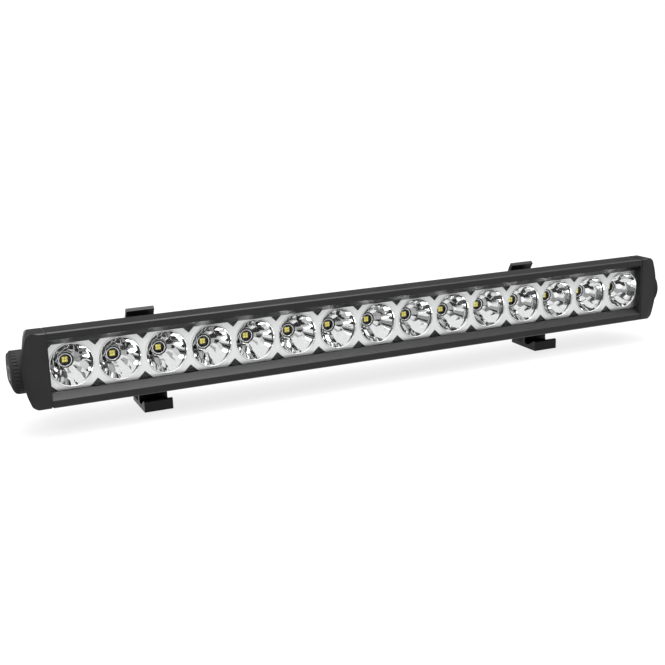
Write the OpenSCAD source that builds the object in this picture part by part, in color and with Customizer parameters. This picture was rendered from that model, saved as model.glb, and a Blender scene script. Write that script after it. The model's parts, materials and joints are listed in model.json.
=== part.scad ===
// Single-row LED light bar with two sliding, tilting clamp feet.
// The housing is built in bar coordinates: X along the bar, Y backwards from the front lips,
// Z up from mid-height. place() then moves everything so that the feet stand on Z = 0 and the
// whole object is centred on X = 0 and Y = 0.

/* [Light row] */
// Number of reflector mouldings in the row
modules = 3; // [2:1:4]
// Number of light cells in one reflector moulding
cells_per_module = 5; // [4:1:6]
// Distance from one light cell to the next
pitch = 34; // [34:0.5:36]
// Height of a reflector rim
cell_h = 35; // [34:0.5:35]
// Corner cut of a reflector's eight-sided rim
cell_cut = 5.8; // [4:0.2:7]
// Radius of a reflector bowl at its mouth
bowl_mouth_r = 15.4; // [14.5:0.1:15.6]
// Radius of a reflector bowl at its throat
bowl_throat_r = 5.6; // [5:0.1:6.5]
// Size of one LED package
led_size = 4.8; // [4:0.2:5.6]

/* [Housing] */
// Half of the housing's height
half_h = 27; // [26.8:0.1:28]
// How far a reflector row stands out past each end of the extrusion
row_overlap = 2.6; // [2.2:0.1:3]
// Thickness of the upper and lower front lips
lip_t = 5.6; // [5:0.1:6]
// Half-height of the window between the bezel slopes
window_half = 17; // [16.6:0.1:17.2]
// Depth of the flat top before the back starts to fall
top_flat = 18; // [16:0.5:20]
// Fall of the back for each millimetre of depth
back_fall = 0.26; // [0.24:0.01:0.3]
// Thickness of a cooling fin
fin_t = 1.6; // [1.2:0.1:1.8]

/* [End caps] */
// Thickness of an end gasket
gasket_t = 1.2; // [1:0.1:1.5]
// Width of an end cap at mid-height, gasket not counted
cap_w = 17; // [16:0.1:19]
// How much narrower an end cap is at its top and bottom edges
cap_sagitta = 5.4; // [4:0.1:6]
// Radius of an end cap's upper and lower outer corners
cap_corner_r = 7; // [5:0.5:8]
// Width of the bevel along an end cap's outer front edge
cap_bevel_w = 7; // [4:0.5:8]
// Depth of that bevel
cap_bevel_d = 1.8; // [1:0.1:2.5]
// Depth of the outer side before it starts to lean inwards
cap_side = 7; // [5:0.5:10]
// How far the outer side leans inwards from there to the back
cap_draft = 7.6; // [4:0.1:8]
// Radius of the side mounting hub
hub_r = 15.5; // [14:0.1:16]
// How far the hub stands out past the end cap
hub_out = 6.9; // [6:0.1:9]
// Number of grip notches around the hub's rim
hub_notches = 36; // [24:2:40]

/* [Clamp feet] */
// Width of a bracket along the bar
bracket_w = 21.8; // [18:0.2:24]
// Place of a bracket along the bar, as a share of the bar's length
bracket_share = 0.342; // [0.26:0.002:0.36]
// Thickness of the bracket's curved strap
strap_t = 3.2; // [2.8:0.1:3.5]
// Inner radius of the curved strap, which is centred on the tilt axis
strap_r = 34; // [34:0.1:35]
// Thickness of the foot plate
foot_t = 3.5; // [3:0.1:4]
// Radius of the bolt hole in a foot
foot_hole_r = 4.25; // [3.5:0.05:4.5]
// Tilt that the slot allows, each way from level
tilt_range = 20; // [15:1:25]

/* [Hidden] */
$fn = 64;

// Light row, in bar coordinates
cells = modules * cells_per_module;
row_len = cells * pitch;
bar_half = row_len / 2 - row_overlap;
lens_y = 6.4;
lens_t = 3;
lens_half = 19.7;
seal_t = 0.8;
rim_y = 9.9;
rim_t = 1.1;
row_tail = 2.4;
mask_t = 1.2;
bowl_end_y = 25;
bowl_wall = 0.9;
board_t = 1.6;
board_y = 27.5;
pad_t = 0.5;
board_half_h = 15.5;
led_t = 0.6;
die_t = 0.25;
die_gap = 0.25;
web_y = board_y + board_t + pad_t;
web_back = 34;

// Housing cross-section
bezel_depth = 5.4;
lip_in = half_h - lip_t;
groove_back = lens_y + lens_t + seal_t;
keeper_t = 1.3;
keeper_half = 18;
chamber_half = 19.9;
driver_half_h = 10.5;
driver_wall = 2;
driver_back = 47;
channel_y = 50;
channel_lip_y = 55.5;
back_y = 58;
block_half = driver_half_h + driver_wall;
channel_half = 5.6;
channel_slot = 3.3;
fin_z = [15.7, 18.9];
fin_end_y = [52, 46.5];
port_r = 1.65;
ports = [[14.5, 22.4], [14.5, -22.4], [52.5, 9.1], [52.5, -9.1]];
lead_x = 8;
lead_hole_r = 3.5;

// Driver board and what stands on it
driver_y = web_back + 2.1;
driver_t = 1.6;
driver_len = 220;
driver_top = driver_y + driver_t;
part_pitch = 56;
inductor_r = 6;
inductor_h = 6.5;
capacitor_r = 3.2;
capacitor_h = 8;
transistor = [6, 2.4, 5];
wire_y = 43;
wire_r = 1.2;

// Ends
cap_in = bar_half + gasket_t;
cap_out = cap_in + cap_w;
cap_arc_r = (half_h * half_h + cap_sagitta * cap_sagitta) / (2 * cap_sagitta);
cap_corner_z = half_h - cap_corner_r;
cap_corner_x = cap_out - cap_arc_r + sqrt(pow(cap_arc_r - cap_corner_r, 2) - pow(cap_corner_z, 2));
cap_room = cap_in + 5;
hub_y = 20.7;
hub_z = -3;
hub_chamfer = 1.8;
hub_corner_r = 9;
hub_x = cap_out + hub_out;
insert_r = 5.5;
thread_r = 3.4;
insert_len = 14;
thread_len = 12;
screw_head_r = 3.2;
screw_head_t = 2.4;
screw_seat_x = cap_in + 6;
screw_len = 18;

// Cable gland and vent, which go through the rear channel into the driver's chamber
outlet_x = bar_half - 24.4;
outlet_r = 4;
outlet_well_r = 5.4;
ring_t = 1.2;

// Feet
bracket_x = bracket_share * 2 * bar_half;
axis_y = 36;
foot_z = -48.8;
foot_front = 25.9;
foot_back = 66;
foot_lip_h = 8.4;
neck_y = 41.9;
neck_t = 3.2;
foot_hole_y = 55.5;
strap_low = -80;
strap_high = 38;
bolt_r = 3;
bolt_hole_r = 3.2;
slot_half = 3.3;
gap = 0.1;
saddle_w = 18;
saddle_half_h = 11;
curved_back = axis_y + strap_r + strap_t + 2;
flat_t = 1.6;
spring_t = 1.5;
nut_t = 5.2;
bolt_end = curved_back + flat_t + spring_t + nut_t + 1.5;

// From bar coordinates to the object's own frame
shift_y = -bolt_end / 2;
shift_z = -foot_z;

function cell_x(i) = (i - (cells - 1) / 2) * pitch;
function mirrored(pts) = concat(pts, [for (i = [len(pts) - 1:-1:0]) [pts[i][0], -pts[i][1]]]);
function back_z(y) = half_h - back_fall * (y - top_flat);
function bowl_r(y) = sqrt(pow(bowl_throat_r, 2)
    + (pow(bowl_mouth_r, 2) - pow(bowl_throat_r, 2)) * (bowl_end_y - y) / (bowl_end_y - rim_y));

module place() {
    translate([0, shift_y, shift_z]) children();
}

// Draws a section in (Y, Z) and runs it along X from x0 to x1
module along_x(x0, x1) {
    translate([x0, 0, 0]) rotate([90, 0, 90]) linear_extrude(x1 - x0) children();
}

// Draws an outline in (X, Z) and runs it back along Y from y0 to y1
module along_y(y0, y1) {
    translate([0, y1, 0]) rotate([90, 0, 0]) linear_extrude(y1 - y0) children();
}

// A round bar along Y
module rod_y(x, z, r, y0, y1, fn = 48) {
    translate([x, y0, z]) rotate([-90, 0, 0]) cylinder(r = r, h = y1 - y0, $fn = fn);
}

// A round bar along X
module rod_x(y, z, r, x0, x1, fn = 48) {
    translate([x0, y, z]) rotate([0, 90, 0]) cylinder(r = r, h = x1 - x0, $fn = fn);
}

// A block given by its two corners
module block(a, b) {
    translate(a) cube(b - a);
}

// A small gusset that fills an inside corner of a section
module gusset_2d(size) {
    polygon([[-0.5, -0.5], [size, -0.5], [size, 0], [0, size], [-0.5, size]]);
}

// ---- Housing extrusion ----

module front_opening_2d() {
    polygon(mirrored([[-1, lip_in + 1], [bezel_depth, window_half], [lens_y, window_half],
        [lens_y, lens_half], [groove_back, lens_half], [groove_back, keeper_half],
        [groove_back + keeper_t, keeper_half], [groove_back + keeper_t, chamber_half],
        [web_y, chamber_half]]));
}

module front_2d() {
    polygon(mirrored([[0, half_h - 0.8], [0.8, half_h], [top_flat, half_h], [web_back, back_z(web_back)]]));
}

module housing() {
    over = bar_half + 1;
    color([0.2, 0.21, 0.22]) place() difference() {
        union() {
            along_x(-bar_half, bar_half) front_2d();
            block([-bar_half, web_back - 1, -block_half], [bar_half, back_y, block_half]);
            for (side = [-1, 1], i = [0, 1])
                block([-bar_half, web_back - 1, side * fin_z[i] - fin_t / 2],
                    [bar_half, fin_end_y[i], side * fin_z[i] + fin_t / 2]);
        }
        along_x(-over, over) front_opening_2d();
        block([-over, web_back, -driver_half_h], [over, driver_back, driver_half_h]);
        block([-over, web_back + 2, -driver_half_h - 0.7], [over, web_back + 3.8, driver_half_h + 0.7]);
        block([-over, channel_y, -channel_half], [over, channel_lip_y, channel_half]);
        block([-over, channel_lip_y - 1, -channel_slot], [over, back_y + 1, channel_slot]);
        for (p = ports) rod_x(p[0], p[1], port_r, -over, over, 32);
        rod_y(lead_x, 0, lead_hole_r, web_y - 1, web_back + 1);
        for (x = [-outlet_x, outlet_x]) {
            rod_y(x, 0, outlet_r, driver_back - 1, channel_y + 1);
            rod_y(x, 0, outlet_well_r, channel_y + 0.5, back_y + 1);
        }
    }
}

module front_lens() {
    color([0.85, 0.92, 0.95, 0.3]) place()
        block([-cap_room + 1.5, lens_y, -lens_half + 0.3], [cap_room - 1.5, lens_y + lens_t, lens_half - 0.3]);
}

// Two soft strips pressed between the lens and the keeper ribs behind it
module lens_seal() {
    color([0.08, 0.08, 0.08]) place() for (side = [0, 1]) mirror([0, 0, side])
        block([-bar_half, lens_y + lens_t, keeper_half], [bar_half, groove_back, lens_half - 0.3]);
}

// ---- Light row ----

module rim_2d(tail) {
    w = pitch / 2;
    e = w + tail;
    h = cell_h / 2;
    polygon([[-w, -h + cell_cut], [-w, h - cell_cut], [-w + cell_cut, h], [e - cell_cut, h],
        [e, h - cell_cut], [e, -h + cell_cut], [e - cell_cut, -h], [-w + cell_cut, -h]]);
}

// Bowl outline from throat to mouth, turned about the cell's axis
module bowl(wall, over) {
    steps = 8;
    depth = bowl_end_y - rim_y;
    points = [for (i = [0:steps]) [bowl_r(bowl_end_y - depth * i / steps) + wall, depth * i / steps]];
    translate([0, bowl_end_y, 0]) rotate([90, 0, 0]) rotate_extrude($fn = 48)
        polygon(concat([[0, -over], [points[0][0], -over]], points,
            [[points[steps][0], depth + over], [0, depth + over]]));
}

// One moulding of several cells. The last rim of the row is longer, and ends inside the right cap
module reflector(first) {
    color([0.9, 0.9, 0.92]) place() for (i = [first:first + cells_per_module - 1])
        translate([cell_x(i), 0, 0]) difference() {
            union() {
                along_y(rim_y, rim_y + rim_t) rim_2d(i == cells - 1 ? row_tail : 0);
                intersection() {
                    bowl(bowl_wall, 0);
                    block([-pitch / 2, rim_y, -cell_h / 2], [pitch / 2, bowl_end_y, cell_h / 2]);
                }
            }
            bowl(0, 1);
        }
}

module reflector_left() {
    reflector(0);
}

module reflector_centre() {
    reflector(cells_per_module);
}

module reflector_right() {
    reflector(2 * cells_per_module);
}

// Black plate behind the rims that keeps stray light out of the gaps
module reflector_mask() {
    hole_r = bowl_r(rim_y + rim_t) + bowl_wall + 0.2;
    color([0.05, 0.05, 0.05]) place() difference() {
        block([-bar_half, rim_y + rim_t, -keeper_half + 0.2],
            [bar_half, rim_y + rim_t + mask_t, keeper_half - 0.2]);
        for (i = [0:cells - 1]) rod_y(cell_x(i), 0, hole_r, rim_y, rim_y + rim_t + mask_t + 1);
    }
}

// Insulating rings that carry the reflectors on the board
module led_spacers() {
    color([0.06, 0.06, 0.06]) place() for (i = [0:cells - 1]) difference() {
        rod_y(cell_x(i), 0, bowl_throat_r + 1, bowl_end_y, board_y);
        rod_y(cell_x(i), 0, led_size * 0.72, bowl_end_y - 1, board_y + 1);
    }
}

module led_packages() {
    color([0.92, 0.92, 0.88]) place() for (i = [0:cells - 1])
        block([cell_x(i) - led_size / 2, board_y - led_t, -led_size / 2],
            [cell_x(i) + led_size / 2, board_y, led_size / 2]);
}

module led_dies() {
    die = (led_size - 1) / 2 - die_gap / 2;
    color([0.95, 0.85, 0.3]) place() for (i = [0:cells - 1], sx = [-1, 1], sz = [-1, 1])
        translate([cell_x(i) + sx * (die + die_gap) / 2, board_y - led_t - die_t / 2,
            sz * (die + die_gap) / 2]) cube([die, die_t, die], center = true);
}

module led_board() {
    color([0.9, 0.9, 0.9]) place() difference() {
        block([-bar_half + 1, board_y, -board_half_h], [bar_half - 1, board_y + board_t, board_half_h]);
        board_screw_places() rod_y(0, 0, 1.5, board_y - 1, board_y + board_t + 1, 24);
    }
}

module board_screw_places() {
    for (i = [1, cells_per_module, cells - cells_per_module, cells - 1], side = [-1, 1])
        translate([cell_x(i) - pitch / 2, 0, side * (board_half_h - 3)]) children();
}

module board_screws() {
    color([0.75, 0.75, 0.75]) place() board_screw_places() {
        rod_y(0, 0, 2.3, board_y - 1.5, board_y, 32);
        rod_y(0, 0, 1.3, board_y - 0.5, web_y, 24);
    }
}

module thermal_pad() {
    color([0.6, 0.65, 0.7]) place() difference() {
        block([-bar_half + 2, web_y - pad_t, -board_half_h], [bar_half - 2, web_y, board_half_h]);
        board_screw_places() rod_y(0, 0, 1.5, web_y - 1, web_y + 1, 24);
        rod_y(lead_x, 0, lead_hole_r, web_y - 1, web_y + 1);
    }
}

// ---- Driver ----

module led_lead_wires() {
    color([0.7, 0.1, 0.1]) place() for (side = [-1, 1])
        rod_y(lead_x + side * 1.5, 0, 0.9, board_y + board_t, driver_y, 24);
}

module driver_board() {
    color([0.1, 0.35, 0.2]) place()
        block([-driver_len / 2, driver_y, -driver_half_h - 0.5],
            [driver_len / 2, driver_top, driver_half_h + 0.5]);
}

module driver_inductors() {
    color([0.2, 0.2, 0.22]) place() for (i = [-1.5:1.5])
        rod_y(part_pitch * i, 0, inductor_r, driver_top, driver_top + inductor_h);
}

module driver_capacitors() {
    color([0.15, 0.2, 0.45]) place() for (i = [-2:2])
        rod_y(50 * i, 4.5, capacitor_r, driver_top, driver_top + capacitor_h);
}

module driver_transistors() {
    color([0.1, 0.1, 0.1]) place() for (i = [-1:1], side = [-1, 1])
        translate([part_pitch * i + 8 * side, driver_top + transistor[1] / 2, -6])
            cube(transistor, center = true);
}

// Two cores that run from the driver to the cable gland
module supply_wires() {
    start = -driver_len / 2 + 4;
    color([0.1, 0.1, 0.1]) place() for (z = [-2, 2]) {
        rod_y(start, z, wire_r, driver_top, wire_y, 24);
        rod_x(wire_y, z, wire_r, -outlet_x, start, 24);
        for (x = [start, -outlet_x]) translate([x, wire_y, z]) sphere(r = wire_r, $fn = 24);
        rod_y(-outlet_x, z, wire_r, wire_y, back_y, 24);
    }
}

// ---- End caps ----

module cap_2d() {
    polygon(mirrored([[0, half_h - 0.8], [0.8, half_h], [top_flat, half_h], [back_y - 7, back_z(back_y - 7)],
        [back_y, block_half]]));
}

module end_gasket() {
    color([0.07, 0.07, 0.07]) along_x(bar_half, cap_in) difference() {
        polygon(mirrored([[0.5, half_h - 1.2], [1.2, half_h - 0.5], [top_flat, half_h - 0.5],
            [back_y - 7.4, back_z(back_y - 7) - 0.5], [back_y - 0.5, block_half - 0.4]]));
        translate([lens_y - 0.5, -chamber_half]) square([web_y - lens_y + 0.5, 2 * chamber_half]);
        translate([web_back, -driver_half_h]) square([driver_back - web_back, 2 * driver_half_h]);
        for (p = ports) translate(p) circle(r = 2.2, $fn = 32);
    }
}

module hub_outline_2d() {
    translate([cap_in, hub_z - hub_r + hub_corner_r]) square([hub_x - cap_in, 3 * hub_r]);
    translate([cap_in, hub_z - hub_r]) square([hub_x - hub_corner_r - cap_in, hub_r]);
    translate([hub_x - hub_corner_r, hub_z - hub_r + hub_corner_r]) circle(r = hub_corner_r);
}

// Round side mounting hub, with its lower outer corner rounded off
module hub() {
    ring = 3.4;
    difference() {
        intersection() {
            translate([cap_in + 6, hub_y, hub_z]) rotate([0, 90, 0])
                cylinder(r = hub_r, h = hub_x - cap_in - 6 - hub_chamfer, $fn = 96);
            along_y(hub_y - hub_r - 1, hub_y + hub_r + 1) hub_outline_2d();
        }
        for (i = [0:hub_notches - 1])
            translate([hub_x - hub_chamfer - ring, hub_y, hub_z]) rotate([i * 360 / hub_notches, 0, 0])
                translate([0, 0, hub_r + 0.25]) rotate([0, 90, 0]) cylinder(r = 0.75, h = ring + 1, $fn = 16);
    }
    intersection() {
        translate([hub_x - hub_chamfer, hub_y, hub_z]) rotate([0, 90, 0])
            cylinder(r1 = hub_r - 0.5, r2 = hub_r - hub_chamfer, h = hub_chamfer, $fn = 96);
        along_y(hub_y - hub_r - 1, hub_y + hub_r + 1) hub_outline_2d();
    }
}

// Round outer side of a cap: front bevel, straight band, then a lean towards the back
module cap_curve() {
    cylinder(r1 = cap_arc_r - cap_bevel_w, r2 = cap_arc_r, h = cap_bevel_d, $fn = 192);
    translate([0, 0, cap_bevel_d]) cylinder(r = cap_arc_r, h = cap_side - cap_bevel_d, $fn = 192);
    translate([0, 0, cap_side])
        cylinder(r1 = cap_arc_r, r2 = cap_arc_r - cap_draft, h = back_y - cap_side, $fn = 192);
}

// What the rounding of an upper outer corner takes away
module cap_corner_2d() {
    translate([cap_corner_x + 0.2, cap_corner_z + 0.2]) difference() {
        square(2 * cap_corner_r);
        circle(r = cap_corner_r);
    }
}

module end_cap() {
    color([0.18, 0.19, 0.2]) difference() {
        union() {
            intersection() {
                along_x(cap_in, cap_out + 1) cap_2d();
                translate([cap_out - cap_arc_r, 0, 0]) rotate([-90, 0, 0]) cap_curve();
            }
            hub();
        }
        for (side = [0, 1]) mirror([0, 0, side]) along_y(-1, back_y + 1) cap_corner_2d();
        block([cap_in - 1, lens_y - 0.5, -chamber_half], [cap_room, web_y, chamber_half]);
        for (p = ports) {
            rod_x(p[0], p[1], 2.1, cap_in - 1, screw_seat_x + 1, 32);
            rod_x(p[0], p[1], screw_head_r + 0.2, screw_seat_x, cap_out + 1);
        }
        rod_x(hub_y, hub_z, insert_r, hub_x - insert_len, hub_x + 1);
    }
}

module left_end_cap() {
    place() mirror([1, 0, 0]) end_cap();
}

module right_end_cap() {
    place() end_cap();
}

module left_end_gasket() {
    place() mirror([1, 0, 0]) end_gasket();
}

module right_end_gasket() {
    place() end_gasket();
}

module cap_screws() {
    color([0.5, 0.5, 0.52]) for (p = ports) difference() {
        union() {
            rod_x(p[0], p[1], screw_head_r, screw_seat_x, screw_seat_x + screw_head_t);
            rod_x(p[0], p[1], port_r - 0.02, screw_seat_x - screw_len, screw_seat_x + 0.5, 32);
        }
        rod_x(p[0], p[1], 1.6, screw_seat_x + 0.8, screw_seat_x + screw_head_t + 1, 6);
    }
}

module left_cap_screws() {
    place() mirror([1, 0, 0]) cap_screws();
}

module right_cap_screws() {
    place() cap_screws();
}

// Threaded insert for a side bracket's bolt
module hub_insert() {
    color([0.75, 0.6, 0.3]) difference() {
        rod_x(hub_y, hub_z, insert_r, hub_x - insert_len, hub_x);
        rod_x(hub_y, hub_z, thread_r, hub_x - thread_len, hub_x + 1);
    }
}

module left_hub_insert() {
    place() mirror([1, 0, 0]) hub_insert();
}

module right_hub_insert() {
    place() hub_insert();
}

// Sealing ring on the channel's floor, under the shoulder of the vent or the gland
module outlet_ring(x) {
    color([0.05, 0.05, 0.05]) place() difference() {
        rod_y(x, 0, outlet_well_r - 0.2, channel_y, channel_y + ring_t);
        rod_y(x, 0, outlet_r, channel_y - 1, channel_y + ring_t + 1);
    }
}

module vent_ring() {
    outlet_ring(outlet_x);
}

module gland_ring() {
    outlet_ring(-outlet_x);
}

// Threaded end and shoulder that the vent and the gland have in common
module outlet_stem(x) {
    rod_y(x, 0, outlet_r - 0.05, driver_back, back_y + 1);
    rod_y(x, 0, outlet_well_r - 0.1, channel_y + ring_t, back_y + 1);
}

module vent_plug() {
    color([0.12, 0.12, 0.12]) place() difference() {
        union() {
            outlet_stem(outlet_x);
            rod_y(outlet_x, 0, 6.8, back_y, back_y + 3.4);
        }
        rod_y(outlet_x, 0, 1.2, driver_back - 1, back_y + 2.2, 24);
        for (i = [0:5]) translate([outlet_x, back_y + 1.7, 0]) rotate([0, i * 60, 0])
            rod_x(0, 0, 0.5, 0, 8, 16);
    }
}

module gland_body() {
    color([0.1, 0.1, 0.1]) place() difference() {
        union() {
            outlet_stem(-outlet_x);
            rod_y(-outlet_x, 0, 7.4, back_y, back_y + 4.5, 6);
            rod_y(-outlet_x, 0, 5.6, back_y + 4, back_y + 11);
        }
        rod_y(-outlet_x, 0, 3.4, driver_back - 1, back_y + 6);
        rod_y(-outlet_x, 0, 4.5, back_y + 5.5, back_y + 12);
    }
}

module gland_seal() {
    color([0.15, 0.15, 0.15]) place() difference() {
        rod_y(-outlet_x, 0, 4.45, back_y + 6, back_y + 11);
        rod_y(-outlet_x, 0, 3.1, back_y + 5, back_y + 12);
    }
}

module gland_nut() {
    steps = 6;
    dome = [for (i = [0:steps]) [4 + 3 * cos(90 * i / steps), 8 + 3 * sin(90 * i / steps)]];
    color([0.1, 0.1, 0.1]) place() difference() {
        translate([-outlet_x, back_y + 4.5, 0]) rotate([-90, 0, 0]) rotate_extrude($fn = 48)
            polygon(concat([[3.3, 6.7], [5.65, 6.7], [5.65, 0], [7, 0]], dome, [[3.3, 11]]));
        for (i = [0:11]) translate([-outlet_x, 0, 0]) rotate([0, 30 * i, 0])
            rod_y(7.2, 0, 0.5, back_y + 4, back_y + 11, 16);
    }
}

// ---- Clamp: one on each side, sliding in the rear channel ----

module t_bolt(x) {
    color([0.7, 0.7, 0.72]) place() {
        block([x - 5, channel_y + 0.6, -channel_half + 0.3],
            [x + 5, channel_lip_y - gap, channel_half - 0.3]);
        rod_y(x, 0, bolt_r, channel_lip_y - 1, bolt_end);
    }
}

// Block between the housing's back and the curved strap
module saddle(x) {
    color([0.12, 0.12, 0.13]) place() difference() {
        intersection() {
            block([x - saddle_w / 2, back_y + gap, -saddle_half_h],
                [x + saddle_w / 2, axis_y + strap_r + 2, saddle_half_h]);
            rod_x(axis_y, 0, strap_r - gap, x - saddle_w, x + saddle_w, 192);
        }
        rod_y(x, 0, bolt_hole_r, back_y - 1, axis_y + strap_r + 2);
    }
}

module curved_washer(x) {
    half = 7;
    color([0.12, 0.12, 0.13]) place() difference() {
        block([x - half, axis_y + strap_r, -half], [x + half, curved_back, half]);
        rod_x(axis_y, 0, strap_r + strap_t + gap, x - half - 1, x + half + 1, 192);
        rod_y(x, 0, bolt_hole_r, axis_y + strap_r - 1, curved_back + 1);
    }
}

module flat_washer(x) {
    color([0.7, 0.7, 0.72]) place() difference() {
        rod_y(x, 0, 6.2, curved_back, curved_back + flat_t);
        rod_y(x, 0, bolt_hole_r, curved_back - 1, curved_back + flat_t + 1);
    }
}

module spring_washer(x) {
    y0 = curved_back + flat_t;
    color([0.65, 0.65, 0.67]) place() difference() {
        rod_y(x, 0, 5.2, y0, y0 + spring_t);
        rod_y(x, 0, bolt_hole_r, y0 - 1, y0 + spring_t + 1);
        translate([x + 4, y0 - 1, -0.5]) rotate([0, 20, 0]) cube([4, spring_t + 2, 0.9]);
    }
}

module clamp_nut(x) {
    y0 = curved_back + flat_t + spring_t;
    color([0.7, 0.7, 0.72]) place() difference() {
        rod_y(x, 0, 5.77, y0, y0 + nut_t, 6);
        rod_y(x, 0, bolt_r + 0.03, y0 - 1, y0 + nut_t + 1);
    }
}

// ---- Bracket: foot plate, neck and curved strap ----

module foot_2d() {
    polygon([[foot_front, foot_z], [foot_front, foot_z + foot_lip_h - 0.6],
        [foot_front + 0.6, foot_z + foot_lip_h], [foot_front + 2, foot_z + foot_lip_h],
        [foot_front + 10.6, foot_z + foot_t], [foot_back, foot_z + foot_t], [foot_back, foot_z]]);
}

module strap_sector_2d() {
    reach = 2 * strap_r;
    translate([axis_y, 0]) polygon(concat([[0, 0]],
        [for (i = [0:4]) let (a = strap_low + (strap_high - strap_low) * i / 4)
            [reach * cos(a), reach * sin(a)]]));
}

module strap(x0, x1) {
    intersection() {
        difference() {
            rod_x(axis_y, 0, strap_r + strap_t, x0, x1, 192);
            rod_x(axis_y, 0, strap_r, x0 - 1, x1 + 1, 192);
        }
        along_x(x0 - 1, x1 + 1) strap_sector_2d();
    }
}

// Slot along the strap, centred on the tilt axis, with room for the bolt at both ends
module strap_slot(x) {
    half_angle = tilt_range + asin((slot_half + 0.2) / strap_r);
    translate([x, axis_y, 0]) rotate([90, 0, 90]) rotate([0, 0, -half_angle])
        rotate_extrude(angle = 2 * half_angle, $fn = 192)
            translate([strap_r - 2, -slot_half]) square([strap_t + 4, 2 * slot_half]);
}

module bracket(x) {
    x0 = x - bracket_w / 2;
    x1 = x + bracket_w / 2;
    plate_top = foot_z + foot_t;
    color([0.1, 0.1, 0.11]) place() difference() {
        union() {
            along_x(x0, x1) foot_2d();
            block([x0, neck_y, foot_z + 1], [x1, neck_y + neck_t, -strap_r - 0.3]);
            along_x(x0, x1) translate([neck_y, plate_top]) mirror([1, 0]) gusset_2d(1.6);
            along_x(x0, x1) translate([neck_y + neck_t, plate_top]) gusset_2d(1.6);
            strap(x0, x1);
        }
        strap_slot(x);
        translate([x, foot_hole_y, foot_z - 1]) cylinder(r = foot_hole_r, h = foot_t + 2);
        for (side = [-1, 1]) translate([x + side * bracket_w / 2, foot_back, foot_z - 1])
            rotate([0, 0, 45]) translate([-2.8, -2.8, 0]) cube([5.6, 5.6, foot_t + 2]);
    }
}

module left_t_bolt() {
    t_bolt(-bracket_x);
}

module left_saddle() {
    saddle(-bracket_x);
}

module left_curved_washer() {
    curved_washer(-bracket_x);
}

module left_flat_washer() {
    flat_washer(-bracket_x);
}

module left_spring_washer() {
    spring_washer(-bracket_x);
}

module left_clamp_nut() {
    clamp_nut(-bracket_x);
}

module left_bracket() {
    bracket(-bracket_x);
}

module right_t_bolt() {
    t_bolt(bracket_x);
}

module right_saddle() {
    saddle(bracket_x);
}

module right_curved_washer() {
    curved_washer(bracket_x);
}

module right_flat_washer() {
    flat_washer(bracket_x);
}

module right_spring_washer() {
    spring_washer(bracket_x);
}

module right_clamp_nut() {
    clamp_nut(bracket_x);
}

module right_bracket() {
    bracket(bracket_x);
}

housing();
front_lens();
lens_seal();
reflector_left();
reflector_centre();
reflector_right();
reflector_mask();
led_spacers();
led_packages();
led_dies();
led_board();
board_screws();
thermal_pad();
led_lead_wires();
driver_board();
driver_inductors();
driver_capacitors();
driver_transistors();
supply_wires();
left_end_gasket();
right_end_gasket();
left_end_cap();
right_end_cap();
left_cap_screws();
right_cap_screws();
left_hub_insert();
right_hub_insert();
vent_ring();
vent_plug();
gland_body();
gland_ring();
gland_seal();
gland_nut();
left_t_bolt();
left_saddle();
left_curved_washer();
left_flat_washer();
left_spring_washer();
left_clamp_nut();
left_bracket();
right_t_bolt();
right_saddle();
right_curved_washer();
right_flat_washer();
right_spring_washer();
right_clamp_nut();
right_bracket();
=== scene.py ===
"""Looks for the LED light bar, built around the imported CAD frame."""

import json
import math

import bmesh
import bpy
from mathutils import Matrix, Vector


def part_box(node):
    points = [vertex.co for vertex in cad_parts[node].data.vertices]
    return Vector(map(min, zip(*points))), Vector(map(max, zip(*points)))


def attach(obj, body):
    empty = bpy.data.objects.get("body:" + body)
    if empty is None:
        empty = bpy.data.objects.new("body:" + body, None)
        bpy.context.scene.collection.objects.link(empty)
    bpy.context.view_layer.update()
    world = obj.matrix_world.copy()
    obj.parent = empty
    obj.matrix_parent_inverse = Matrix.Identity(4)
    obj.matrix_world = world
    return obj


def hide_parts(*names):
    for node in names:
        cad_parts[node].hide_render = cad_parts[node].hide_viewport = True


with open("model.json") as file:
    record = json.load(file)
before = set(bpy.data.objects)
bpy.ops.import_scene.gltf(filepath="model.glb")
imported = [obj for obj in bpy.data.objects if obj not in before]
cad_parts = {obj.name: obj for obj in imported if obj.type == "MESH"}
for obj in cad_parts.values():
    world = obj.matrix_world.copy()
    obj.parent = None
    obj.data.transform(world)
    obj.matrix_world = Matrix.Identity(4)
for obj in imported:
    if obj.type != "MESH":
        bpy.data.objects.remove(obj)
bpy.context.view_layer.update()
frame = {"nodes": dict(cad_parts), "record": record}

MM = 0.001
SIDES = ("left", "right")

# ---- Places read from the frame ----

housing_low, housing_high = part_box("housing")
HOUSING_HALF = housing_high.x
MIDDLE_Z = (housing_low.z + housing_high.z) / 2

LEFT_LOW, LEFT_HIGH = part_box("reflector_left")
RIM_Y = LEFT_LOW.y
THROAT_Y = LEFT_HIGH.y
CELLS_PER_MODULE = 5
PITCH = (LEFT_HIGH.x - LEFT_LOW.x) / CELLS_PER_MODULE
CELL_HALF_H = (LEFT_HIGH.z - LEFT_LOW.z) / 2
CELLS = 3 * CELLS_PER_MODULE
BOARD_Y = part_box("led_board")[0].y


def cell_x(i):
    return (i - (CELLS - 1) / 2) * PITCH


# ---- Node helpers ----

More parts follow.
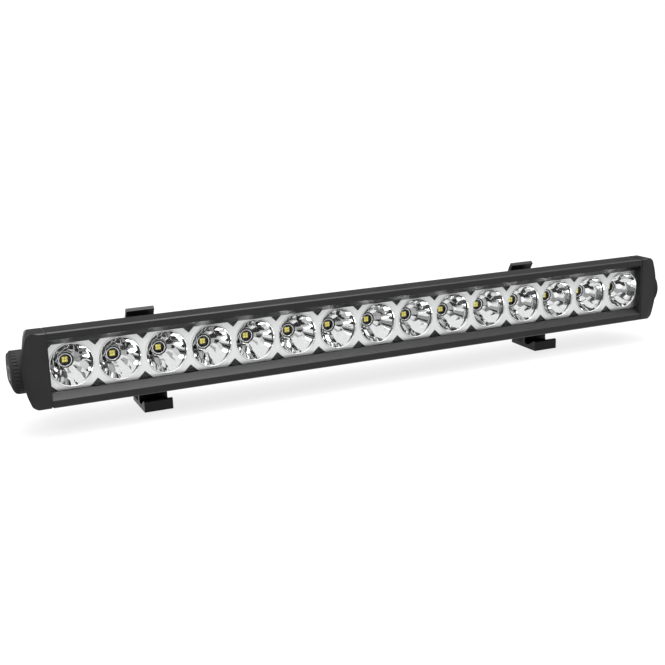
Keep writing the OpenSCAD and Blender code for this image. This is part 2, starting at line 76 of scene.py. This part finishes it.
class Tree:
    """A short way to write a node tree."""

    def __init__(self, tree):
        self.tree = tree

    def add(self, kind, **settings):
        node = self.tree.nodes.new(kind)
        for key, value in settings.items():
            setattr(node, key, value)
        return node

    def link(self, source, target):
        self.tree.links.new(source, target)

    def axes(self, vector):
        """The X, Y and Z of a vector."""
        node = self.add("ShaderNodeSeparateXYZ")
        self.link(vector, node.inputs["Vector"])
        return node.outputs

    def ramp(self, source, low, high, out_low, out_high):
        node = self.add("ShaderNodeMapRange")
        self.link(source, node.inputs["Value"])
        for key, value in (("From Min", low), ("From Max", high), ("To Min", out_low), ("To Max", out_high)):
            node.inputs[key].default_value = value
        return node.outputs["Result"]

    def mix(self, factor, first, second):
        node = self.add("ShaderNodeMix", data_type="RGBA")
        self.link(factor, node.inputs["Factor"])
        for socket, value in ((node.inputs["A"], first), (node.inputs["B"], second)):
            if isinstance(value, tuple):
                socket.default_value = (*value, 1.0)
            else:
                self.link(value, socket)
        return node.outputs["Result"]

    def math(self, operation, *values):
        node = self.add("ShaderNodeMath", operation=operation)
        for socket, value in zip(node.inputs, values):
            if isinstance(value, (int, float)):
                socket.default_value = value
            else:
                self.link(value, socket)
        return node.outputs["Value"]


class Nodes(Tree):
    """A Principled material, with its textures laid out in the object's own space."""

    def __init__(self, name):
        self.material = bpy.data.materials.new(name)
        self.material.use_nodes = True
        super().__init__(self.material.node_tree)
        self.shader = self.tree.nodes["Principled BSDF"]
        self.place = self.add("ShaderNodeTexCoord").outputs["Object"]

    def noise(self, scale, detail=3.0, roughness=0.5):
        mapping = self.add("ShaderNodeMapping")
        mapping.inputs["Scale"].default_value = (scale, scale, scale)
        self.link(self.place, mapping.inputs["Vector"])
        node = self.add("ShaderNodeTexNoise")
        self.link(mapping.outputs["Vector"], node.inputs["Vector"])
        node.inputs["Scale"].default_value = 1.0
        node.inputs["Detail"].default_value = detail
        node.inputs["Roughness"].default_value = roughness
        return node.outputs["Fac"]

    def bump(self, height, distance):
        node = self.add("ShaderNodeBump")
        node.inputs["Strength"].default_value = 1.0
        node.inputs["Distance"].default_value = distance
        self.link(height, node.inputs["Height"])
        self.link(node.outputs["Normal"], self.shader.inputs["Normal"])

    def set(self, **values):
        for key, value in values.items():
            socket = self.shader.inputs[key.replace("_", " ")]
            if isinstance(value, bpy.types.NodeSocket):
                self.link(value, socket)
            else:
                socket.default_value = (*value, 1.0) if isinstance(value, tuple) else value


def grained(name, colour, other, roughness, spread, grain, depth, metallic=0.0, broad=60.0):
    """A solid finish with a broad change of colour, a fine grain and a matching roughness.

    spread is how far the roughness goes each way, grain and broad are the two noises' scales,
    and depth is the grain's height in metres.
    """
    m = Nodes(name)
    cloud = m.noise(broad, 4.0, 0.6)
    fine = m.noise(grain, 2.0, 0.5)
    both = m.math("MULTIPLY_ADD", cloud, 0.7, fine)
    m.set(Base_Color=m.mix(m.ramp(cloud, 0.3, 0.7, 0.0, 1.0), colour, other), Metallic=metallic,
          Roughness=m.ramp(both, 0.4, 1.3, roughness - spread, roughness + spread))
    m.bump(fine, depth)
    return m


# Where the housing paint starts to get rougher beyond the extrusion's ends, where it is roughest, and by how much
ROUGHER_FROM = HOUSING_HALF + 10 * MM
ROUGHER_TO = HOUSING_HALF + 17 * MM
ROUGHER_BY = 0.4


def housing_paint():
    """Fine-textured black, a little rougher on the end caps' sides and hubs than along the bar."""
    m = grained("housing_paint", (0.0055, 0.0055, 0.006), (0.008, 0.008, 0.0085), 0.36, 0.06, 2600, 0.00005)
    outward = m.math("ABSOLUTE", m.axes(m.place)["X"])
    even = m.shader.inputs["Roughness"].links[0].from_socket
    rougher = m.ramp(outward, ROUGHER_FROM, ROUGHER_TO, 0.0, ROUGHER_BY)
    m.set(Specular_IOR_Level=0.28, Roughness=m.math("ADD", even, rougher))
    return m


def bracket_paint():
    m = grained("bracket_paint", (0.003, 0.0032, 0.0038), (0.005, 0.0052, 0.006), 0.36, 0.06, 2400, 0.00004)
    m.set(Specular_IOR_Level=0.2)
    return m


# The rims' finish changes to the bowls' finish between these two depths
RIM_FINISH_END = RIM_Y + 0.1 * MM
BOWL_FINISH_START = RIM_Y + 0.5 * MM
RIM_SHADE, BOWL_SHADE = 0.68, 0.82
RIM_EXTRA_ROUGHNESS = 0.42


def mirror_chrome():
    """Bright metal, polished inside the bowls, satin and slightly greyer on the flat rims."""
    m = Nodes("mirror_chrome")
    depth = m.axes(m.place)["Y"]
    satin = m.ramp(depth, RIM_FINISH_END, BOWL_FINISH_START, RIM_EXTRA_ROUGHNESS, 0.0)
    shade = m.ramp(depth, RIM_FINISH_END, BOWL_FINISH_START, RIM_SHADE, BOWL_SHADE)
    m.set(Base_Color=shade, Metallic=1.0,
          Roughness=m.math("ADD", satin, m.ramp(m.noise(900), 0.3, 0.7, 0.015, 0.04)))
    m.bump(m.noise(220, 2.0), 0.00002)
    return m


def clear_lens():
    """Clear sheet with a low refractive index, so that it shows only weak reflections."""
    m = Nodes("clear_lens")
    m.set(Base_Color=(0.985, 0.99, 0.99), Transmission_Weight=1.0, IOR=1.14,
          Roughness=m.ramp(m.noise(500), 0.3, 0.7, 0.0, 0.015))
    m.bump(m.noise(25, 1.0), 0.00001)
    return m


def led_phosphor():
    m = grained("led_phosphor", (0.86, 0.74, 0.1), (0.95, 0.85, 0.2), 0.5, 0.08, 6000, 0.00002, broad=900)
    # The faint emission is a painted glow: the LEDs are not lit, it only brightens the yellow dies
    m.set(Emission_Color=(0.9, 0.72, 0.08), Emission_Strength=0.08)
    return m


MATERIALS = {
    "housing_paint": housing_paint(),
    "bracket_paint": bracket_paint(),
    "mirror_chrome": mirror_chrome(),
    "clear_lens": clear_lens(),
    "black_rubber": grained("black_rubber", (0.003, 0.003, 0.003), (0.005, 0.005, 0.005), 0.8, 0.08, 1800, 0.00005),
    "black_plastic": grained("black_plastic", (0.005, 0.005, 0.0055), (0.008, 0.008, 0.0085), 0.5, 0.08, 2200, 0.00004),
    "led_frame": grained("led_frame", (0.006, 0.006, 0.006), (0.011, 0.011, 0.01), 0.35, 0.06, 3000, 0.00002),
    "led_phosphor": led_phosphor(),
    "white_board": grained("white_board", (0.74, 0.75, 0.75), (0.8, 0.8, 0.8), 0.35, 0.06, 2500, 0.00002),
    "green_board": grained("green_board", (0.02, 0.13, 0.05), (0.03, 0.17, 0.07), 0.35, 0.06, 2500, 0.00002),
    "thermal_pad_grey": grained("thermal_pad_grey", (0.3, 0.33, 0.37), (0.36, 0.39, 0.43), 0.8, 0.05, 2500, 0.00003),
    "plated_steel": grained("plated_steel", (0.55, 0.55, 0.57), (0.66, 0.66, 0.67), 0.3, 0.1, 1500, 0.00003, 1.0),
    "insert_steel": grained("insert_steel", (0.06, 0.06, 0.065), (0.1, 0.1, 0.1), 0.4, 0.1, 1500, 0.00003, 1.0),
    "wire_red": grained("wire_red", (0.42, 0.02, 0.02), (0.5, 0.04, 0.03), 0.4, 0.06, 2500, 0.00002),
    "wire_black": grained("wire_black", (0.015, 0.015, 0.015), (0.022, 0.022, 0.022), 0.4, 0.06, 2500, 0.00002),
    "ferrite": grained("ferrite", (0.03, 0.03, 0.033), (0.05, 0.05, 0.053), 0.7, 0.08, 2500, 0.00004),
    "capacitor_sleeve": grained("capacitor_sleeve", (0.02, 0.035, 0.15), (0.03, 0.05, 0.2), 0.35, 0.06, 2500, 0.00002),
}
SLOT_OF = {row["node"]: row["material_slot"] for row in frame["record"]["subparts"]}


# ---- Mesh helpers ----

def body_of(node):
    return next(body for body, members in frame["record"]["behaviour"]["bodies"].items() if node in members)


def finish_piece(name, bm, slot, body, smooth_angle=32.0, weighted=True):
    """Turns a bmesh into a piece with one material that rides on its body."""
    mesh = bpy.data.meshes.new(name)
    bmesh.ops.recalc_face_normals(bm, faces=bm.faces)
    bm.to_mesh(mesh)
    bm.free()
    mesh.materials.append(MATERIALS[slot].material)
    mesh.shade_smooth()
    mesh.set_sharp_from_angle(angle=math.radians(smooth_angle))
    piece = bpy.data.objects.new(name, mesh)
    bpy.context.scene.collection.objects.link(piece)
    if weighted:
        piece.modifiers.new("normals", "WEIGHTED_NORMAL").keep_sharp = True
    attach(piece, body)
    return piece


def cleaned(node):
    """The node's mesh as a bmesh, with its flat triangles joined into whole faces."""
    bm = bmesh.new()
    bm.from_mesh(frame["nodes"][node].data)
    bmesh.ops.remove_doubles(bm, verts=bm.verts, dist=0.002 * MM)
    bmesh.ops.dissolve_limit(bm, angle_limit=math.radians(0.6), verts=bm.verts, edges=bm.edges)
    return bm


def rounded(node, width, segments=2):
    """A piece like the node, with its sharp edges rounded, that stands for it."""
    limit = math.radians(40)
    bm = cleaned(node)
    sharp = [e for e in bm.edges if len(e.link_faces) == 2 and e.calc_face_angle() > limit]
    bmesh.ops.bevel(bm, geom=sharp, offset=width, segments=segments, profile=0.5, affect="EDGES",
                    clamp_overlap=True)
    piece = finish_piece(node + "_piece", bm, SLOT_OF[node], body_of(node))
    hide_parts(node)


# ---- Reflectors ----

BOWL_MOUTH_R = 15.4 * MM
BOWL_THROAT_R = 5.6 * MM
# Corner cut of the eight-sided rims, and the smaller one at the outer end of the row's last cell
RIM_CUT = 5.6 * MM
END_CUT = 3.0 * MM
WALL = 0.6 * MM
# The mouths and rims sit a little to the right of the LEDs, so each bowl leans
LEAN_X = 2.2 * MM
# Beads around each mouth and each throat: radius of the ring, depth and thickness
MOUTH_BEAD = (BOWL_MOUTH_R + 0.25 * MM, RIM_Y, 0.5 * MM)
THROAT_BEAD = (4.55 * MM, THROAT_Y + 0.1 * MM, 0.35 * MM)
# Facets meet at more than this many degrees, so their edges stay sharp
FLAT_ANGLE = 5
# Rows of flat facets: the radius at which each row touches the bowl, in millimetres, its facets and how
# much every second facet leans away from the bowl's own slope
FACET_ROWS = ((7.0, 12, 0.0), (9.2, 14, 0.18), (12.0, 16, -0.16), (14.5, 60, 0.0))
MOUTH_SEGMENTS = 96
# Faces are put in order along this slanting line, on which hardly any two lie level
SORT_LINE = Vector((1.0, 0.123, 0.057))


def bowl_depth(r):
    """How far behind the rim plane the bowl is at radius r."""
    span = BOWL_MOUTH_R ** 2 - BOWL_THROAT_R ** 2
    return (THROAT_Y - RIM_Y) * (BOWL_MOUTH_R ** 2 - r ** 2) / span


def bowl_slope(r):
    """How fast that depth falls with the radius."""
    span = BOWL_MOUTH_R ** 2 - BOWL_THROAT_R ** 2
    return (THROAT_Y - RIM_Y) * 2 * r / span


def bowl_cavity():
    """The space inside one bowl: a round bar cut by the flat facets. It opens towards -Y."""
    depth = THROAT_Y - RIM_Y
    bm = bmesh.new()
    turn = Matrix.Rotation(math.radians(90), 4, "X")
    bmesh.ops.create_cone(bm, cap_ends=True, segments=MOUTH_SEGMENTS, radius1=BOWL_MOUTH_R, radius2=BOWL_MOUTH_R,
                          depth=depth, matrix=Matrix.Translation((LEAN_X, RIM_Y + depth / 2, 0)) @ turn)
    for row, (r_mm, count, lean) in enumerate(FACET_ROWS):
        r = r_mm * MM
        for i in range(count):
            a = 2 * math.pi * (i + 0.5 * (row % 2)) / count
            outward = Vector((math.cos(a), 0, math.sin(a)))
            lean_x = LEAN_X * (r - BOWL_THROAT_R) / (BOWL_MOUTH_R - BOWL_THROAT_R)
            point = outward * r + Vector((lean_x, RIM_Y + bowl_depth(r), 0))
            slope = bowl_slope(r) * (1 + lean * (i % 2))
            normal = (outward * slope + Vector((0, 1, 0))).normalized()
            cut = bmesh.ops.bisect_plane(bm, geom=bm.verts[:] + bm.edges[:] + bm.faces[:], dist=1e-7,
                                         plane_co=point, plane_no=normal, clear_outer=True)
            edges = [g for g in cut["geom_cut"] if isinstance(g, bmesh.types.BMEdge)]
            bmesh.ops.contextual_create(bm, geom=edges)
    return bm


def rim_outline(place):
    """Corners of one eight-sided rim. The row's last cell has smaller corners at its outer end."""
    w = PITCH / 2 - LEAN_X
    e = PITCH / 2 + LEAN_X
    h = CELL_HALF_H
    c = RIM_CUT
    d = END_CUT if place == CELLS - 1 else RIM_CUT
    return [(-w, c - h), (-w, h - c), (c - w, h), (e - d, h), (e, h - d), (e, d - h), (e - d, -h), (c - w, -h)]


def on_plane(verts, y):
    """Whether all the vertices lie at this depth."""
    return all(abs(v.co.y - y) < 1e-6 for v in verts)


def reflector_cell(place):
    """The mirrored face of one cell around X = 0 and Z = 0: bowl and eight-sided rim, open at the throat."""
    bm = bowl_cavity()
    gone = [f for f in bm.faces if on_plane(f.verts, RIM_Y) or on_plane(f.verts, THROAT_Y)]
    bmesh.ops.delete(bm, geom=gone, context="FACES_ONLY")
    mouth = [e for e in bm.edges if e.is_boundary and on_plane(e.verts, RIM_Y)]
    corners = [bm.verts.new((x, RIM_Y, z)) for x, z in rim_outline(place)]
    outer = [bm.edges.new((corners[i], corners[(i + 1) % 8])) for i in range(8)]
    bmesh.ops.triangle_fill(bm, edges=mouth + outer, use_beauty=True, use_dissolve=False)
    rim = next(f for f in bm.faces if on_plane(f.verts, RIM_Y))
    bmesh.ops.recalc_face_normals(bm, faces=bm.faces)
    if rim.normal.y > 0:
        bmesh.ops.reverse_faces(bm, faces=bm.faces)
    mesh = bpy.data.meshes.new("cell")
    bm.to_mesh(mesh)
    bm.free()
    return mesh


def turned(bm, profile, centre, segments=64):
    """Turns a closed outline of (radius, y) points about a line along Y through centre."""
    rings = []
    for k in range(segments):
        a = 2 * math.pi * k / segments
        rings.append([bm.verts.new((centre[0] + r * math.cos(a), y, centre[1] + r * math.sin(a)))
                      for r, y in profile])
    count = len(profile)
    for k in range(segments):
        here, there = rings[k], rings[(k + 1) % segments]
        for n in range(count):
            m = (n + 1) % count
            bm.faces.new((here[n], here[m], there[m], there[n]))


def bead(radius, y, thickness, points=10):
    """Outline of a round bead at a radius, for turned()."""
    angles = [2 * math.pi * k / points for k in range(points)]
    return [(radius + thickness * math.cos(a), y + thickness * math.sin(a)) for a in angles]


def reflector(node, first):
    """One mirrored moulding of five cells, as a thin closed shell with a bead at each mouth."""
    bm = bmesh.new()
    for i in range(first, first + CELLS_PER_MODULE):
        mesh = reflector_cell(i)
        start = len(bm.verts)
        bm.from_mesh(mesh)
        bm.verts.ensure_lookup_table()
        bmesh.ops.translate(bm, verts=bm.verts[start:], vec=(cell_x(i), 0, MIDDLE_Z))
        bpy.data.meshes.remove(mesh)
    bmesh.ops.remove_doubles(bm, verts=bm.verts, dist=0.005 * MM)
    bmesh.ops.solidify(bm, geom=bm.faces[:], thickness=WALL)
    for i in range(first, first + CELLS_PER_MODULE):
        turned(bm, bead(*MOUTH_BEAD), (cell_x(i) + LEAN_X, MIDDLE_Z))
        turned(bm, bead(*THROAT_BEAD), (cell_x(i), MIDDLE_Z))
    # Solidify adds its walls in an order that changes from run to run
    bm.faces.sort(key=lambda face: face.calc_center_median().dot(SORT_LINE))
    piece = finish_piece(node + "_mirror", bm, "mirror_chrome", "light_bar", smooth_angle=FLAT_ANGLE, weighted=False)
    soften_beads(piece)
    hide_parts(node)


def soften_beads(piece):
    """Lets the beads shade smoothly although they bend like facets. They are told by their small four-sided faces."""
    limit = math.radians(40)
    bead_face_area = 1.2 * MM * MM
    bm = bmesh.new()
    bm.from_mesh(piece.data)
    for e in bm.edges:
        if len(e.link_faces) == 2 and e.calc_face_angle() < limit:
            if all(len(f.verts) == 4 and f.calc_area() < bead_face_area for f in e.link_faces):
                e.smooth = True
    bm.to_mesh(piece.data)
    bm.free()


def spacer_rings():
    """Black rings around the LEDs, with a well that narrows down to a thin floor over the board."""
    outer_r, mouth_r, neck_r, well_r, hole_r = (r * MM for r in (6.5, 4.3, 3.7, 3.6, 0.4))
    top = THROAT_Y + 0.02 * MM
    floor_y = BOARD_Y - 0.14 * MM
    under = BOARD_Y - 0.02 * MM
    profile = [(outer_r, top), (mouth_r, top), (neck_r, top + 0.7 * MM), (well_r, floor_y),
               (hole_r, floor_y), (hole_r, under), (outer_r, under)]
    bm = bmesh.new()
    for i in range(CELLS):
        turned(bm, profile, (cell_x(i), MIDDLE_Z))
    piece = finish_piece("led_spacers_piece", bm, "black_plastic", "light_bar")
    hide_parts("led_spacers")


# ---- Build ----

for name, node in frame["nodes"].items():
    node.data.materials.clear()
    node.data.materials.append(MATERIALS[SLOT_OF[name]].material)

for index, name in enumerate(("reflector_left", "reflector_centre", "reflector_right")):
    reflector(name, index * CELLS_PER_MODULE)
spacer_rings()

for name in ("housing", "left_end_cap", "right_end_cap"):
    rounded(name, 0.45 * MM, segments=3)
for side in SIDES:
    rounded(side + "_bracket", 0.4 * MM, segments=3)
    rounded(side + "_saddle", 0.3 * MM)
    rounded(side + "_curved_washer", 0.25 * MM)
    rounded(side + "_clamp_nut", 0.2 * MM)
    rounded(side + "_t_bolt", 0.25 * MM)
for name in ("gland_body", "vent_plug"):
    rounded(name, 0.2 * MM)

# A clear lens hardly dims what is behind it, and the mirrors show no yellow dots
frame["nodes"]["front_lens"].visible_shadow = False
frame["nodes"]["led_dies"].visible_glossy = False


# ---- Camera, floor and lights ----

# Metres, with the height counted from the housing's middle, then degrees, then millimetres
CAMERA_PLACE = Vector((-0.3496, -0.7531, MIDDLE_Z + 0.1944))
CAMERA_YAW, CAMERA_PITCH, CAMERA_ROLL = 23.477, 14.094, -1.804
CAMERA_LENS = 56.73


def make_camera():
    yaw, pitch, roll = (math.radians(a) for a in (CAMERA_YAW, CAMERA_PITCH, CAMERA_ROLL))
    data = bpy.data.cameras.new("camera")
    data.lens = CAMERA_LENS
    data.sensor_width = 36.0
    data.clip_start = 0.01
    data.clip_end = 100.0
    camera = bpy.data.objects.new("camera", data)
    bpy.context.scene.collection.objects.link(camera)
    camera.matrix_world = (Matrix.Translation(CAMERA_PLACE) @ Matrix.Rotation(-yaw, 4, "Z")
                           @ Matrix.Rotation(math.pi / 2 - pitch, 4, "X") @ Matrix.Rotation(roll, 4, "Z"))
    bpy.context.scene.camera = camera


def make_floor():
    """A matt floor that gives off some light, so that it stays white with only a soft shadow."""
    bm = bmesh.new()
    bmesh.ops.create_grid(bm, x_segments=1, y_segments=1, size=30.0)
    mesh = bpy.data.meshes.new("floor")
    bm.to_mesh(mesh)
    bm.free()
    m = Nodes("floor")
    m.set(Base_Color=m.mix(m.noise(3.0), (0.11, 0.11, 0.11), (0.12, 0.12, 0.12)), Roughness=0.9,
          Specular_IOR_Level=0.0, Emission_Color=(1.0, 1.0, 1.0), Emission_Strength=0.8)
    mesh.materials.append(m.material)
    floor = bpy.data.objects.new("floor", mesh)
    bpy.context.scene.collection.objects.link(floor)


def make_light(name, place, target, size, power):
    data = bpy.data.lights.new(name, "AREA")
    data.shape = "RECTANGLE"
    data.size, data.size_y = size
    data.energy = power
    light = bpy.data.objects.new(name, data)
    bpy.context.scene.collection.objects.link(light)
    place = Vector(place)
    aim = (Vector(target) - place).to_track_quat("-Z", "Y").to_matrix().to_4x4()
    light.matrix_world = Matrix.Translation(place) @ aim
    light.visible_camera = False


# The studio's brightness by the Z of the direction, from 0 at the horizon to 1 straight up: pale low walls,
# a dark gap, a bright ceiling and one dark band across the ceiling
STUDIO_STEPS = ((0.2, 0.08), (0.25, 0.005), (0.43, 0.005), (0.48, 0.08), (0.58, 0.14), (0.68, 1.0),
                (0.8, 1.0), (0.83, 0.03), (0.89, 0.03), (0.92, 1.0))
STUDIO_LOWEST, STUDIO_HIGHEST = 0.08, 1.0


def make_world():
    """White to the camera. As light it is a studio, brighter in front of the object than behind it or beside it."""
    world = bpy.data.worlds.new("studio")
    bpy.context.scene.world = world
    world.use_nodes = True
    world.node_tree.nodes.clear()
    tree = Tree(world.node_tree)
    seen = tree.add("ShaderNodeBackground")
    lit = tree.add("ShaderNodeBackground")
    for background in (seen, lit):
        background.inputs["Color"].default_value = (1, 1, 1, 1)
    axes = tree.axes(tree.add("ShaderNodeTexCoord").outputs["Generated"])
    height = tree.add("ShaderNodeValToRGB")
    steps = height.color_ramp.elements
    steps[0].color = (STUDIO_LOWEST, STUDIO_LOWEST, STUDIO_LOWEST, 1)
    steps[1].color = (STUDIO_HIGHEST, STUDIO_HIGHEST, STUDIO_HIGHEST, 1)
    for position, level in STUDIO_STEPS:
        steps.new(position).color = (level, level, level, 1)
    tree.link(axes["Z"], height.inputs["Fac"])
    depth_factor = tree.ramp(axes["Y"], 0.3, 0.7, 7.5, 2.4)
    side_factor = tree.ramp(tree.math("ABSOLUTE", axes["X"]), 0.45, 0.8, 1.0, 0.15)
    strength = tree.math("MULTIPLY", tree.math("MULTIPLY", height.outputs["Color"], depth_factor), side_factor)
    tree.link(strength, lit.inputs["Strength"])
    mix = tree.add("ShaderNodeMixShader")
    tree.link(tree.add("ShaderNodeLightPath").outputs["Is Camera Ray"], mix.inputs["Fac"])
    tree.link(lit.outputs["Background"], mix.inputs[1])
    tree.link(seen.outputs["Background"], mix.inputs[2])
    tree.link(mix.outputs["Shader"], tree.add("ShaderNodeOutputWorld").inputs["Surface"])


make_camera()
make_floor()
make_world()
make_light("top_softbox", (-0.1, -0.3, 1.3), (0, 0, 0.05), (1.5, 0.9), 12)

bpy.context.scene.view_settings.view_transform = "Standard"
